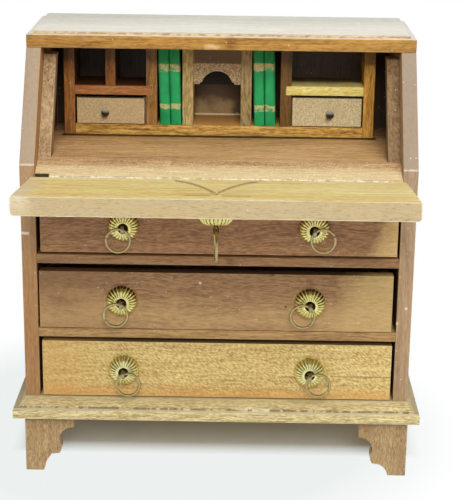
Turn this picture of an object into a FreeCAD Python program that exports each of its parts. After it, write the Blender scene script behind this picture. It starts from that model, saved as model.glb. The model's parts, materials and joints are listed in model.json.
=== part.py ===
import FreeCAD, Part
import math
import os

# Dollhouse secretary desk at one twelfth of full size, with its fall open and its drawers shut.
# Millimetres, X to the right, Y to the back, Z up. The pieces are made with Y = 0 at the front
# edges of the gables and Z = 0 on the floor, and are moved to the final origin at the end.

V = FreeCAD.Vector

# Case
case_width = 76.2
case_depth = 38.6
gable_thickness = 2.9
interior_height = 20.1
slope_drop = 0.15
slope_run = 13.6
back_thickness = 2.0
top_face_height = 2.5
top_step_height = 0.6
top_ledge = 1.1

# Writing board and drawer dividers
writing_thickness = 4.55
writing_bevel_drop = 1.9
writing_bevel_run = 4.6
divider_thickness = 1.87

# Plinth
plinth_face_height = 1.95
plinth_step_height = 0.5
plinth_rise = 1.3
plinth_front_overhang = 3.15
plinth_side_overhang = 2.3
plinth_ledge = 1.2

# Bracket feet, sawn by hand, so the ears of the left and right feet sit at different heights
foot_height = 12.45
foot_stock = 2.8
foot_proud = 0.3
foot_toe = 3.6
foot_toe_run = 1.7
foot_toe_hollow = 0.35
foot_ear_run = 1.5
foot_ear_lip = 0.2
foot_ear_height = 3.0
foot_ear_bulge = 0.45
foot_cove_width = 1.6
foot_cove_height = 2.7
foot_cove_hollow = 0.45
foot_wing = 1.4
foot_ear_level = {"left": 3.6, "right": 2.4}

# Strips on the insides of the gables, behind the fall
strip_thickness = 2.5
strip_depth = 3.5
strip_setback = 5.0
strip_top_gap = 1.9

# Fall and its linen tape hinge
fall_side_lap = 0.55
fall_thickness = 3.4
fall_tilt = 6.9
fall_end_round = 0.8
fall_axis_forward = 1.62
fall_lap_clearance = 0.3
fall_top_gap = 0.95
fall_stop_clearance = 0.05
fall_pull_inset = 5.6
fall_leg_reach = 7.4
fall_leg_lift = 16.0
tape_end_gap = 3.5
tape_thickness = 0.22
tape_leaf_height = 1.3
tape_web_drop = 0.5
tape_fold_radius = 0.28
tape_fold_clearance = 0.08
tape_fall_gap = 0.45

# Drawers
drawer_front_height = 11.65
drawer_front_thickness = 2.4
drawer_side_gap = 0.6
drawer_back_gap = 2.6
drawer_wall = 1.5
drawer_side_drop = 1.65
drawer_back_drop = 2.45
drawer_side_inset = 0.3
drawer_bottom_thickness = 0.9
drawer_bottom_raise = 0.6
drawer_lift = 0.12
drawer_front_trim = {"upper": 0.35, "middle": 0.0, "lower": 0.12}
drawer_top_gap = {"upper": 1.56, "middle": 1.56, "lower": 0.83}
drawer_offset = {"upper": 0.15, "middle": -0.3, "lower": 0.0}
pull_spacing = 36.8
drawer_leg_gap = 0.425
drawer_leg_lift = 8.0

# Pulls: a fluted cap, a split pin with an eye, and an open wire ring
rosette_radius = 3.15
rosette_height = 2.1
rosette_hole_clearance = 0.03
rosette_flutes = 24
flute_depth = 0.3
rosette_level_shares = ((1.0, 0.0), (0.96, 0.38), (0.8, 0.75), (0.36, 1.0))
eye_radius = 0.7
eye_wire_radius = 0.17
eye_rise = 0.85
eye_neck_angle = 40.0
eye_neck_radius = 0.3
leg_bend_radius = 0.4
leg_gap = 0.02
wire_sides = 6
wire_turn_step = 20.0
pin_hole_clearance = 0.06
ring_radius = 2.3
ring_wire_radius = 0.2
ring_gap = 0.2
ring_wide_gap = 0.7
ring_lean = {"upper_left": -22.0, "upper_right": 46.0, "middle_left": -26.0, "middle_right": -40.0,
             "lower_left": 25.0, "lower_right": 46.0}
ring_gap_bearing = {"upper_left": 160.0, "upper_right": 20.0, "middle_left": 200.0, "middle_right": 300.0,
                    "lower_left": 180.0, "lower_right": 330.0, "fall": 240.0}
widest_gap_ring = "lower_left"

# Pigeonholes
unit_left_gap = 2.75
unit_right_gap = 3.8
unit_depth = 10.1
unit_upright = 2.25
unit_base_thickness = 2.15
letter_divider_thickness = 2.05
letter_bay_share = 0.1304
left_book_bay_share = 0.1077
niche_bay_share = 0.2019
right_book_bay_share = 0.1222
shelf_thickness = 1.9
shelf_housing = 1.1
left_shelf_rise = 6.2
right_shelf_rise = 6.6
valance_thickness = 1.3
valance_drop = 9.3
arch_shoulder = 1.32
arch_step_width = 0.45
arch_step_height = 0.45
arch_rise = 2.35
book_top_gap = 1.65
book_back_gap = 2.2
book_spine_bulge = 0.25
book_setback = 0.4
book_lean = 1.6
book_side_gap = 0.12

# Small drawers behind the fall
small_clearance = 0.15
small_top_gap = 0.35
small_front_thickness = 1.6
small_back_gap = 0.5
small_wall = 0.9
small_bottom = 0.7
small_tray_drop = 0.4
knob_seat_radius = 0.5
knob_height = 1.55
knob_shank_radius = 0.3
knob_shank_clearance = 0.02
knob_offset = {"left": -1.1, "right": 0.6}
knob_sink = 0.3

# Length that cutters run past the faces they cut
overrun = 1.0

# Case and its openings, from the sizes above
half_width = case_width / 2
inner_half = half_width - gable_thickness
inner_back = case_depth - back_thickness
plinth_step_level = foot_height + plinth_face_height
case_bottom_height = plinth_step_level + plinth_step_height + plinth_rise
drawer_rail = {}
drawer_ceiling = {}
rail_height = case_bottom_height
for drawer_name in ("lower", "middle", "upper"):
    drawer_rail[drawer_name] = rail_height
    front_top = rail_height + drawer_lift + drawer_front_height
    drawer_ceiling[drawer_name] = front_top + drawer_top_gap[drawer_name]
    rail_height = drawer_ceiling[drawer_name] + divider_thickness
writing_underside = drawer_ceiling["upper"]
writing_top_height = writing_underside + writing_thickness
case_top_height = writing_top_height + interior_height
slope_bottom_height = writing_top_height - slope_drop
slope_angle = math.atan2(case_top_height - slope_bottom_height, slope_run)
drawer_front_width = 2 * (inner_half - drawer_side_gap)
drawer_depth = inner_back - drawer_back_gap

# Fall, from the slope that it closes on
fall_width = 2 * (inner_half + fall_side_lap)
fall_axis_height = (slope_bottom_height - fall_axis_forward * math.tan(slope_angle)
                    + fall_lap_clearance / math.cos(slope_angle))
fall_length = math.hypot(slope_run + fall_axis_forward, case_top_height - fall_axis_height) - fall_top_gap
fall_pull_distance = fall_length - fall_pull_inset
tilt = math.radians(fall_tilt)
fall_heel = (fall_axis_forward + fall_thickness * math.sin(tilt) - fall_stop_clearance) / math.cos(tilt)
fall_closing_angle = 180 - fall_tilt - math.degrees(slope_angle)
fall_front = -fall_axis_forward - fall_length * math.cos(tilt) - fall_thickness * math.sin(tilt)
tape_length = fall_width - 2 * tape_end_gap
origin_depth = (fall_front + case_depth) / 2

# Feet and pulls
foot_ear_start = foot_toe + foot_toe_run
foot_ear_tip = foot_ear_start + foot_ear_run
foot_width = foot_ear_tip + foot_cove_width + foot_wing
eye_stand = rosette_height + eye_rise
rosette_hole_radius = eye_radius + eye_wire_radius + rosette_hole_clearance
drawer_leg_reach = drawer_front_height / 2 - drawer_bottom_raise - drawer_bottom_thickness - drawer_leg_gap
leg_offset = eye_wire_radius + leg_gap / 2
pin_hole_radius = leg_offset + eye_wire_radius + pin_hole_clearance

# Pigeonholes: the bays share the width that the boards leave, and the right bay takes the rest
unit_front = inner_back - unit_depth
unit_floor = writing_top_height + unit_base_thickness
upright_names = ("left_end", "left_inner", "left_centre", "right_centre", "right_inner", "right_end")
bays_width = (2 * inner_half - unit_left_gap - unit_right_gap - letter_divider_thickness
              - len(upright_names) * unit_upright)
letter_bay = letter_bay_share * bays_width
left_book_bay = left_book_bay_share * bays_width
niche_bay = niche_bay_share * bays_width
right_book_bay = right_book_bay_share * bays_width
right_bay = bays_width - 2 * letter_bay - left_book_bay - niche_bay - right_book_bay
arch_width = niche_bay - 2 * arch_shoulder
book_height = case_top_height - unit_floor - book_top_gap
book_depth = unit_depth - book_setback - book_back_gap
book_shift = book_height * math.sin(math.radians(book_lean))
book_thickness = (left_book_bay - book_shift - 2 * book_side_gap) / 2
small_depth = unit_depth - small_back_gap

# The left faces of the six uprights, from the bays between them
upright_left = {}
cursor = unit_left_gap - inner_half
for upright_name, bay_width in zip(upright_names, (2 * letter_bay + letter_divider_thickness, left_book_bay,
                                                   niche_bay, right_book_bay, right_bay, 0)):
    upright_left[upright_name] = cursor
    cursor += unit_upright + bay_width

fall_placement = FreeCAD.Placement(V(0, -fall_axis_forward, fall_axis_height),
                                   FreeCAD.Rotation(V(1, 0, 0), -fall_tilt))
parts = {}


def box(x0, x1, y0, y1, z0, z1):
    return Part.makeBox(x1 - x0, y1 - y0, z1 - z0, V(x0, y0, z0))


def prism_along_x(points, x0, x1):
    corners = [V(x0, y, z) for y, z in points]
    return Part.Face(Part.makePolygon(corners + corners[:1])).extrude(V(x1 - x0, 0, 0))


def bowed(start, end, bow):
    # An arc from start to end that bows by a given length to the left of its chord, in (u, z)
    chord = (end[0] - start[0], end[1] - start[1])
    length = math.hypot(*chord)
    middle = ((start[0] + end[0]) / 2 - chord[1] / length * bow,
              (start[1] + end[1]) / 2 + chord[0] / length * bow)
    return (start, middle, end)


def outline_face(runs, to_space):
    # A face inside runs of two points (straight) or three points (arc), laid out by to_space(u, z)
    edges = []
    for run in runs:
        points = [to_space(u, z) for u, z in run]
        curve = Part.LineSegment(*points) if len(points) == 2 else Part.Arc(*points)
        edges.append(curve.toShape())
    return Part.Face(Part.Wire(edges))


def placed(shape, placement):
    result = shape.copy()
    result.Placement = placement
    return result


# Case

def gable(x0):
    profile = ((0, case_bottom_height), (0, slope_bottom_height), (slope_run, case_top_height),
               (case_depth, case_top_height), (case_depth, case_bottom_height))
    return prism_along_x(profile, x0, x0 + gable_thickness)


def top_board():
    face_top = case_top_height + top_face_height
    slab = box(-half_width, half_width, slope_run, case_depth, case_top_height, face_top)
    step = box(top_ledge - half_width, half_width - top_ledge, slope_run + top_ledge, case_depth,
               face_top, face_top + top_step_height)
    return slab.fuse(step).removeSplitter()


def writing_board():
    profile = ((0, writing_underside), (0, writing_top_height - writing_bevel_drop),
               (writing_bevel_run, writing_top_height), (inner_back, writing_top_height),
               (inner_back, writing_underside))
    return prism_along_x(profile, -inner_half, inner_half)


def divider(underside):
    return box(-inner_half, inner_half, 0, inner_back, underside, underside + divider_thickness)


def rectangle(side, front, level):
    corners = [V(-side, front, level), V(side, front, level),
               V(side, case_depth, level), V(-side, case_depth, level)]
    return Part.makePolygon(corners + corners[:1])


def plinth_board():
    side = half_width + plinth_side_overhang
    slab = box(-side, side, -plinth_front_overhang, case_depth, foot_height, plinth_step_level)
    step_top = plinth_step_level + plinth_step_height
    step_side = side - plinth_ledge
    step_front = plinth_ledge - plinth_front_overhang
    step = box(-step_side, step_side, step_front, case_depth, plinth_step_level, step_top)
    bevel = Part.makeLoft([rectangle(step_side, step_front, step_top),
                           rectangle(half_width, 0, case_bottom_height)], True, True)
    return slab.fuse([step, bevel]).removeSplitter()


parts["left_gable"] = gable(-half_width)
parts["right_gable"] = gable(inner_half)
parts["top_board"] = top_board()
parts["back_panel"] = box(-inner_half, inner_half, inner_back, case_depth,
                          case_bottom_height, case_top_height)
parts["writing_board"] = writing_board()
parts["upper_drawer_divider"] = divider(drawer_ceiling["middle"])
parts["lower_drawer_divider"] = divider(drawer_ceiling["lower"])
parts["plinth_board"] = plinth_board()


# Feet: a sawn bracket on the face and one on the return, butted at the corner

def bracket_runs(start, ear_level):
    toe = (foot_toe, 0)
    ear_start = (foot_ear_start, ear_level)
    ear_tip = (foot_ear_tip, ear_level + foot_ear_lip)
    neck = (foot_ear_tip, ear_level + foot_ear_height)
    cove_end = (foot_ear_tip + foot_cove_width, ear_level + foot_ear_height + foot_cove_height)
    wing = (foot_width, cove_end[1] + foot_ear_lip)
    return [((start, 0), toe), bowed(toe, ear_start, foot_toe_hollow), (ear_start, ear_tip),
            bowed(ear_tip, neck, -foot_ear_bulge), bowed(neck, cove_end, foot_cove_hollow),
            (cove_end, wing), (wing, (foot_width, foot_height)),
            ((foot_width, foot_height), (start, foot_height)), ((start, foot_height), (start, 0))]


def plain_runs(ear_level):
    corners = [(0, 0), (foot_toe, 0), (foot_width, foot_height - ear_level),
               (foot_width, foot_height), (0, foot_height)]
    return list(zip(corners, corners[1:] + corners[:1]))


def corner_foot(side, at_back):
    ear_level = foot_ear_level[side]
    face_runs = plain_runs(ear_level) if at_back else bracket_runs(0, ear_level)
    face = outline_face(face_runs, lambda u, z: V(u, 0, z)).extrude(V(0, foot_stock, 0))
    wing_runs = bracket_runs(foot_stock, ear_level)
    wing = outline_face(wing_runs, lambda u, z: V(0, u, z)).extrude(V(foot_stock, 0, 0))
    foot = Part.makeCompound([face, wing])
    if side == "right":
        foot = foot.mirror(V(0, 0, 0), V(1, 0, 0))
    if at_back:
        foot = foot.mirror(V(0, 0, 0), V(0, 1, 0))
    outer = half_width + foot_proud
    foot.translate(V(outer if side == "right" else -outer, case_depth if at_back else -foot_proud, 0))
    return foot


for side_name in ("left", "right"):
    parts["foot_front_" + side_name] = corner_foot(side_name, False)
    parts["foot_rear_" + side_name] = corner_foot(side_name, True)


# Strips behind the fall, parallel to the sloping edges of the gables

def slope_strip(x0):
    top = case_top_height - strip_top_gap
    low_front = (writing_top_height - slope_bottom_height) / math.tan(slope_angle) + strip_setback
    high_front = (top - slope_bottom_height) / math.tan(slope_angle) + strip_setback
    profile = ((low_front, writing_top_height), (high_front, top), (high_front + strip_depth, top),
               (low_front + strip_depth, writing_top_height))
    return prism_along_x(profile, x0, x0 + strip_thickness)


parts["left_slope_strip"] = slope_strip(-inner_half)
parts["right_slope_strip"] = slope_strip(inner_half - strip_thickness)


# Pulls, made on a face at z = 0 that looks along +Z, with the pin's legs spread along X

def rosette():
    # Planar facets between star-shaped rings, then bored for the pin
    rings = []
    for radius_share, height_share in rosette_level_shares:
        corners = []
        for step in range(2 * rosette_flutes):
            radius = (rosette_radius - flute_depth * (step % 2)) * radius_share
            angle = math.pi * step / rosette_flutes
            level = rosette_height * height_share
            corners.append(V(radius * math.cos(angle), radius * math.sin(angle), level))
        rings.append(corners + corners[:1])
    outlines = [rings[0], rings[-1]]
    for lower, upper in zip(rings, rings[1:]):
        for step in range(2 * rosette_flutes):
            outlines.append([lower[step], lower[step + 1], upper[step + 1], upper[step], lower[step]])
    cap = Part.makeSolid(Part.makeShell([Part.Face(Part.makePolygon(outline)) for outline in outlines]))
    hole = Part.makeCylinder(rosette_hole_radius, rosette_height + 2 * overrun, V(0, 0, -overrun))
    return cap.cut(hole)


def rounded_path(points, radii):
    # Straight runs through the points, with a tangent arc of the given radius at each inner point
    curves = []
    start = points[0]
    for before, corner, after, radius in zip(points, points[1:], points[2:], radii):
        back = (before - corner).normalize()
        ahead = (after - corner).normalize()
        half = back.getAngle(ahead) / 2
        arc_start = corner + back * (radius / math.tan(half))
        arc_end = corner + ahead * (radius / math.tan(half))
        middle = corner + (back + ahead).normalize() * (radius / math.sin(half) - radius)
        curves.append(Part.LineSegment(start, arc_start))
        curves.append(Part.Arc(arc_start, middle, arc_end))
        start = arc_end
    curves.append(Part.LineSegment(start, points[-1]))
    return curves


def bent_wire(curves, normal, radius):
    # A faceted wire along straight runs and arcs that follow on smoothly, in a plane with this normal
    stations = []
    for curve in curves:
        edge = curve.toShape()
        first, last = edge.FirstParameter, edge.LastParameter
        straight = isinstance(curve, Part.LineSegment)
        steps = 1 if straight else math.ceil(math.degrees(last - first) / wire_turn_step)
        for step in range(steps):
            parameter = first + (last - first) * step / steps
            stations.append((edge.valueAt(parameter), edge.tangentAt(parameter)))
    stations.append((edge.valueAt(last), edge.tangentAt(last)))
    sections = []
    for point, tangent in stations:
        beside = tangent.cross(normal)
        corners = []
        for side in range(wire_sides):
            angle = 2 * math.pi * (side + 0.5) / wire_sides
            corners.append(point + normal * (radius * math.cos(angle)) + beside * (radius * math.sin(angle)))
        sections.append(Part.makePolygon(corners + corners[:1]))
    return Part.makeLoft(sections, True, True)


def split_pin(board, reach, lift):
    neck = math.radians(eye_neck_angle)
    rise = math.radians(lift)
    bend_depth = board + leg_bend_radius * math.tan((math.pi / 2 - rise) / 2)
    leg_end_depth = bend_depth + (reach - leg_offset) * math.tan(rise)
    neck_height = eye_stand - (eye_radius - leg_offset * math.cos(neck)) / math.sin(neck)
    eye_low = eye_stand - eye_radius * math.sin(neck)
    halves = []
    for way in (1, -1):
        halves.append([V(way * reach, 0, -leg_end_depth), V(way * leg_offset, 0, -bend_depth),
                       V(way * leg_offset, 0, neck_height), V(way * eye_radius * math.cos(neck), 0, eye_low)])
    right, left = halves
    eye = Part.Arc(right[-1], V(0, 0, eye_stand + eye_radius), left[-1])
    curves = (rounded_path(right, (leg_bend_radius, eye_neck_radius)) + [eye]
              + rounded_path(left[::-1], (eye_neck_radius, leg_bend_radius)))
    return bent_wire(curves, V(0, 1, 0), eye_wire_radius)


def wire_ring(centre, normal, gap_direction, gap):
    # An open ring with a cut of the given width towards gap_direction
    half_gap = math.degrees(gap / ring_radius) / 2
    start = FreeCAD.Rotation(normal, half_gap).multVec(gap_direction)
    end = FreeCAD.Rotation(normal, -half_gap).multVec(gap_direction)
    far_side = centre - gap_direction * ring_radius
    turn = Part.Arc(centre + start * ring_radius, far_side, centre + end * ring_radius)
    return bent_wire([turn], normal, ring_wire_radius)


cap_shape = rosette()
drawer_pin_shape = split_pin(drawer_front_thickness, drawer_leg_reach, drawer_leg_lift)
face_to_front = FreeCAD.Rotation(V(0, 0, 1), V(-1, 0, 0), V(0, -1, 0), "ZXY")
face_to_floor = FreeCAD.Rotation(V(1, 0, 0), V(0, -1, 0), V(0, 0, -1), "ZXY")


# Drawers

def drawer_pull_point(drawer, side):
    across = drawer_offset[drawer] + (pull_spacing / 2 if side == "right" else -pull_spacing / 2)
    return V(across, 0, drawer_rail[drawer] + drawer_lift + drawer_front_height / 2)


def drawer_front(drawer):
    middle = drawer_offset[drawer]
    bottom = drawer_rail[drawer] + drawer_lift
    board = box(middle - drawer_front_width / 2, middle + drawer_front_width / 2, 0, drawer_front_thickness,
                bottom + drawer_front_trim[drawer], bottom + drawer_front_height)
    holes = [Part.makeCylinder(pin_hole_radius, drawer_front_thickness + 2 * overrun,
                               drawer_pull_point(drawer, side) - V(0, overrun, 0), V(0, 1, 0))
             for side in ("left", "right")]
    return board.cut(holes)


def drawer_box(drawer):
    middle = drawer_offset[drawer]
    bottom = drawer_rail[drawer] + drawer_lift
    outer = drawer_front_width / 2 - drawer_side_inset
    inner = outer - drawer_wall
    side_top = bottom + drawer_front_height - drawer_side_drop
    back_top = bottom + drawer_front_height - drawer_back_drop
    left = box(middle - outer, middle - inner, drawer_front_thickness, drawer_depth, bottom, side_top)
    right = box(middle + inner, middle + outer, drawer_front_thickness, drawer_depth, bottom, side_top)
    back = box(middle - inner, middle + inner, drawer_depth - drawer_wall, drawer_depth, bottom, back_top)
    return Part.makeCompound([left, right, back])


def drawer_bottom(drawer):
    middle = drawer_offset[drawer]
    inner = drawer_front_width / 2 - drawer_side_inset - drawer_wall
    level = drawer_rail[drawer] + drawer_lift + drawer_bottom_raise
    return box(middle - inner, middle + inner, drawer_front_thickness, drawer_depth - drawer_wall,
               level, level + drawer_bottom_thickness)


def drawer_ring(drawer, side):
    name = drawer + "_" + side
    lean = math.radians(ring_lean[name])
    eye = drawer_pull_point(drawer, side) - V(0, eye_stand, 0)
    centre = eye + V(math.sin(lean), 0, -math.cos(lean)) * ring_radius
    bearing = math.radians(ring_gap_bearing[name])
    gap = ring_wide_gap if name == widest_gap_ring else ring_gap
    return wire_ring(centre, V(0, -1, 0), V(math.cos(bearing), 0, math.sin(bearing)), gap)


for drawer_name in ("upper", "middle", "lower"):
    points = [drawer_pull_point(drawer_name, side) for side in ("left", "right")]
    pull_places = [FreeCAD.Placement(point, face_to_front) for point in points]
    parts[drawer_name + "_drawer_front"] = drawer_front(drawer_name)
    parts[drawer_name + "_drawer_box"] = drawer_box(drawer_name)
    parts[drawer_name + "_drawer_bottom"] = drawer_bottom(drawer_name)
    parts[drawer_name + "_drawer_rosettes"] = Part.makeCompound(
        [placed(cap_shape, place) for place in pull_places])
    parts[drawer_name + "_drawer_split_pins"] = Part.makeCompound(
        [placed(drawer_pin_shape, place) for place in pull_places])
    for side_name in ("left", "right"):
        parts[drawer_name + "_" + side_name + "_ring"] = drawer_ring(drawer_name, side_name)


# Fall, made level with its hinge axis on the X axis, then tilted into place

def fall_board():
    half = fall_width / 2
    top_left, top_right = (-half, 0), (half, 0)
    low = -fall_thickness
    bulge = fall_end_round * (1 - math.sqrt(0.5))
    right_round = ((half, low + fall_end_round), (half - bulge, low + bulge), (half - fall_end_round, low))
    left_round = ((fall_end_round - half, low), (bulge - half, low + bulge), (-half, low + fall_end_round))
    runs = [(top_left, top_right), (top_right, right_round[0]), right_round,
            (right_round[2], left_round[0]), left_round, (left_round[2], top_left)]
    board = outline_face(runs, lambda u, z: V(u, fall_heel, z)).extrude(V(0, -fall_heel - fall_length, 0))
    undercut = prism_along_x(((0, 0), (fall_heel, -fall_thickness), (fall_heel + overrun, -fall_thickness),
                              (fall_heel + overrun, overrun), (0, overrun)),
                             -half - overrun, half + overrun)
    fold_room_length = tape_length + 2 * tape_fold_clearance
    fold_room = Part.makeCylinder(tape_fold_radius + tape_fold_clearance, fold_room_length,
                                  V(-fold_room_length / 2, 0, 0), V(1, 0, 0))
    pin_hole = Part.makeCylinder(pin_hole_radius, fall_thickness + 2 * overrun,
                                 V(0, -fall_pull_distance, -fall_thickness - overrun))
    return board.cut([undercut, fold_room, pin_hole])


def fall_tape():
    # The half of the tape glued to the undercut rear edge of the fall
    edge = V(0, fall_heel, -fall_thickness).normalize()
    out = V(0, fall_thickness, fall_heel).normalize()
    near = edge * (tape_fold_radius + tape_fall_gap)
    far = near + edge * tape_leaf_height
    corners = [near, far, far + out * tape_thickness, near + out * tape_thickness]
    return prism_along_x([(c.y, c.z) for c in corners], -tape_length / 2, tape_length / 2)


def board_tape():
    # The half glued to the writing board's front edge, the web across the gap and the fold on the axis
    half = tape_length / 2
    axis = (-fall_axis_forward, fall_axis_height)
    leaf_top = fall_axis_height - tape_web_drop
    leaf = box(-half, half, -tape_thickness, 0, leaf_top - tape_leaf_height, leaf_top)
    web = prism_along_x((axis, (-tape_thickness, leaf_top), (-tape_thickness, leaf_top - tape_thickness),
                         (axis[0], axis[1] - tape_thickness)), -half, half)
    fold = Part.makeCylinder(tape_fold_radius, tape_length, V(-half, axis[0], axis[1]), V(1, 0, 0))
    return leaf.fuse([web, fold]).removeSplitter()


fall_pull_place = FreeCAD.Placement(V(0, -fall_pull_distance, -fall_thickness), face_to_floor)
fall_eye = fall_placement.multVec(V(0, -fall_pull_distance, -fall_thickness - eye_stand))
fall_gap_bearing = math.radians(ring_gap_bearing["fall"])
parts["fall_board"] = placed(fall_board(), fall_placement)
parts["fall_rosette"] = placed(cap_shape, fall_placement.multiply(fall_pull_place))
parts["fall_split_pin"] = placed(split_pin(fall_thickness, fall_leg_reach, fall_leg_lift),
                                 fall_placement.multiply(fall_pull_place))
parts["fall_ring"] = wire_ring(fall_eye - V(0, 0, ring_radius), V(1, 0, 0),
                               V(0, math.cos(fall_gap_bearing), math.sin(fall_gap_bearing)), ring_gap)
parts["hinge_tape_on_fall"] = placed(fall_tape(), fall_placement)
parts["hinge_tape_on_board"] = board_tape()


# Pigeonholes

def upright(name):
    floor = writing_top_height if name.endswith("end") else unit_floor
    left = upright_left[name]
    return box(left, left + unit_upright, unit_front, inner_back, floor, case_top_height)


def between(left_name, right_name, front, back, low, high):
    return box(upright_left[left_name] + unit_upright, upright_left[right_name], front, back, low, high)


def shelf(left, right, rise):
    # Its inner end is let into the inner upright
    level = unit_floor + rise
    return box(left, right, unit_front, inner_back, level, level + shelf_thickness)


def letter_divider():
    left = upright_left["left_end"] + unit_upright + letter_bay
    return box(left, left + letter_divider_thickness, unit_front, inner_back,
               unit_floor + left_shelf_rise + shelf_thickness, case_top_height)


def arch_valance():
    lower = case_top_height - valance_drop
    plate = between("left_centre", "right_centre", unit_front, unit_front + valance_thickness,
                    lower, case_top_height)
    middle = upright_left["left_centre"] + unit_upright + niche_bay / 2
    corners = []
    for way in (-1, 1):
        foot = middle + way * arch_width / 2
        spring = (foot - way * arch_step_width, lower + arch_step_height)
        corners.append(((foot, lower - overrun), (foot, lower + arch_step_height), spring))
    (left_low, left_step, left_spring), (right_low, right_step, right_spring) = corners
    runs = [(left_low, left_step), (left_step, left_spring), bowed(left_spring, right_spring, arch_rise),
            (right_spring, right_step), (right_step, right_low), (right_low, left_low)]
    arch = outline_face(runs, lambda u, z: V(u, unit_front - overrun, z))
    return plate.cut(arch.extrude(V(0, valance_thickness + 2 * overrun, 0)))


def book_pair(bay_left):
    front = unit_front + book_setback
    left = bay_left + book_side_gap + book_shift
    books = []
    for place in range(2):
        x0 = left + place * book_thickness
        x1 = x0 + book_thickness
        back = front + book_depth
        spine = bowed((x0, front), (x1, front), -book_spine_bulge)
        runs = [spine, ((x1, front), (x1, back)), ((x1, back), (x0, back)), ((x0, back), (x0, front))]
        books.append(outline_face(runs, lambda u, y: V(u, y, unit_floor)).extrude(V(0, 0, book_height)))
    pair = Part.makeCompound(books)
    pair.rotate(V(left, 0, unit_floor), V(0, 1, 0), -book_lean)
    return pair


for upright_name in upright_left:
    parts[upright_name + "_upright"] = upright(upright_name)
parts["pigeonhole_base"] = between("left_end", "right_end", unit_front, inner_back,
                                   writing_top_height, unit_floor)
parts["left_shelf"] = shelf(upright_left["left_end"] + unit_upright,
                            upright_left["left_inner"] + shelf_housing, left_shelf_rise)
parts["right_shelf"] = shelf(upright_left["right_inner"] + unit_upright - shelf_housing,
                             upright_left["right_end"], right_shelf_rise)
for side_name in ("left", "right"):
    inner_name = side_name + "_inner_upright"
    parts[inner_name] = parts[inner_name].cut(parts[side_name + "_shelf"])
parts["letter_divider"] = letter_divider()
parts["arch_valance"] = arch_valance()
parts["left_books"] = book_pair(upright_left["left_inner"] + unit_upright)
parts["right_books"] = book_pair(upright_left["right_centre"] + unit_upright)


# Small drawers: a front, a tray cut from the solid, and a round-headed pin as the knob

def small_drawer(side):
    left_name, right_name = ("left_end", "left_inner") if side == "left" else ("right_inner", "right_end")
    rise = left_shelf_rise if side == "left" else right_shelf_rise
    left = upright_left[left_name] + unit_upright + small_clearance
    right = upright_left[right_name] - small_clearance
    low = unit_floor + small_clearance
    high = unit_floor + rise - small_top_gap
    back = unit_front + small_front_thickness
    knob_point = V((left + right) / 2 + knob_offset[side], unit_front, (low + high) / 2 - knob_sink)
    hole = Part.makeCylinder(knob_shank_radius + knob_shank_clearance, small_front_thickness + 2 * overrun,
                             knob_point - V(0, overrun, 0), V(0, 1, 0))
    front = box(left, right, unit_front, back, low, high).cut(hole)
    tray = box(left, right, back, unit_front + small_depth, low, high - small_tray_drop)
    pocket = box(left + small_wall, right - small_wall, back, unit_front + small_depth - small_wall,
                 low + small_bottom, high + overrun)
    knob = placed(round_pin(), FreeCAD.Placement(knob_point, face_to_front))
    return front, tray.cut(pocket), knob


def round_pin():
    head_radius = (knob_seat_radius ** 2 + knob_height ** 2) / (2 * knob_height)
    base_latitude = math.degrees(math.asin((head_radius - knob_height) / head_radius))
    head_centre = V(0, 0, knob_height - head_radius)
    head = Part.makeSphere(head_radius, head_centre, V(0, 0, 1), base_latitude, 90, 360)
    shank = Part.makeCylinder(knob_shank_radius, small_front_thickness, V(0, 0, -small_front_thickness))
    return head.fuse(shank).removeSplitter()


for side_name in ("left", "right"):
    front_shape, tray_shape, knob_shape = small_drawer(side_name)
    parts[side_name + "_small_drawer_front"] = front_shape
    parts[side_name + "_small_drawer_tray"] = tray_shape
    parts[side_name + "_small_drawer_knob"] = knob_shape


# The origin is on the floor, midway between the front of the open fall and the back of the case

os.makedirs("parts", exist_ok=True)
for name, shape in parts.items():
    shape.translate(V(0, -origin_depth, 0))
    shape.exportStep("parts/" + name + ".step")
print(len(parts), "nodes, and the fall closes through", round(fall_closing_angle, 2), "degrees")
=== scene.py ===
import json
import math

import bpy
from mathutils import Matrix, Vector


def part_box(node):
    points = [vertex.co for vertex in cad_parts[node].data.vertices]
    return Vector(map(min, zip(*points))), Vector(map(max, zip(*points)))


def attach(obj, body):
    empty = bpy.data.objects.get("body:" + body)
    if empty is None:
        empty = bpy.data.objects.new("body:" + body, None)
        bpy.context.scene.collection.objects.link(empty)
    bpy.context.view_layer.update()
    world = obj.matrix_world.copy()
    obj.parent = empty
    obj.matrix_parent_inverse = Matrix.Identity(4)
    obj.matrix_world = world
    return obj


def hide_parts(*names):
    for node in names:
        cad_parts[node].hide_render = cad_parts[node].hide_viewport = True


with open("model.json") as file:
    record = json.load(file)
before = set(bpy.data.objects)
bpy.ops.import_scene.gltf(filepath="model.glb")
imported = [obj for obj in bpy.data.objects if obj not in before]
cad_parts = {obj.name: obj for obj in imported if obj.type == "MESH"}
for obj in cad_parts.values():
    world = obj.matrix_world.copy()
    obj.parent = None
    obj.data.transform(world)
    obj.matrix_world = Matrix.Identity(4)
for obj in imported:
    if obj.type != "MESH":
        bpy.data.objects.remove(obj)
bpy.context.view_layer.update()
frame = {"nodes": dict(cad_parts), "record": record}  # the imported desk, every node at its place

record = frame["record"]
mm = 0.001
bodyOf = {node: body for body, members in record["behaviour"]["bodies"].items() for node in members}
jointOf = {joint["name"]: joint for joint in record["behaviour"]["joints"]}
drawerNames = ("upper", "middle", "lower")
sideNames = ("left", "right")
print("frame loaded,", len(frame["nodes"]), "nodes")


# small helpers for node trees

def linear(red, green, blue):  # screen colour, 0 to 255
    steps = [value / 255 for value in (red, green, blue)]
    return tuple(((step + 0.055) / 1.055) ** 2.4 if step > 0.04 else step / 12.92 for step in steps) + (1.0,)


def feed(tree, socket, value):
    if isinstance(value, bpy.types.NodeSocket):
        tree.links.new(value, socket)
    else:
        socket.default_value = value


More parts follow.
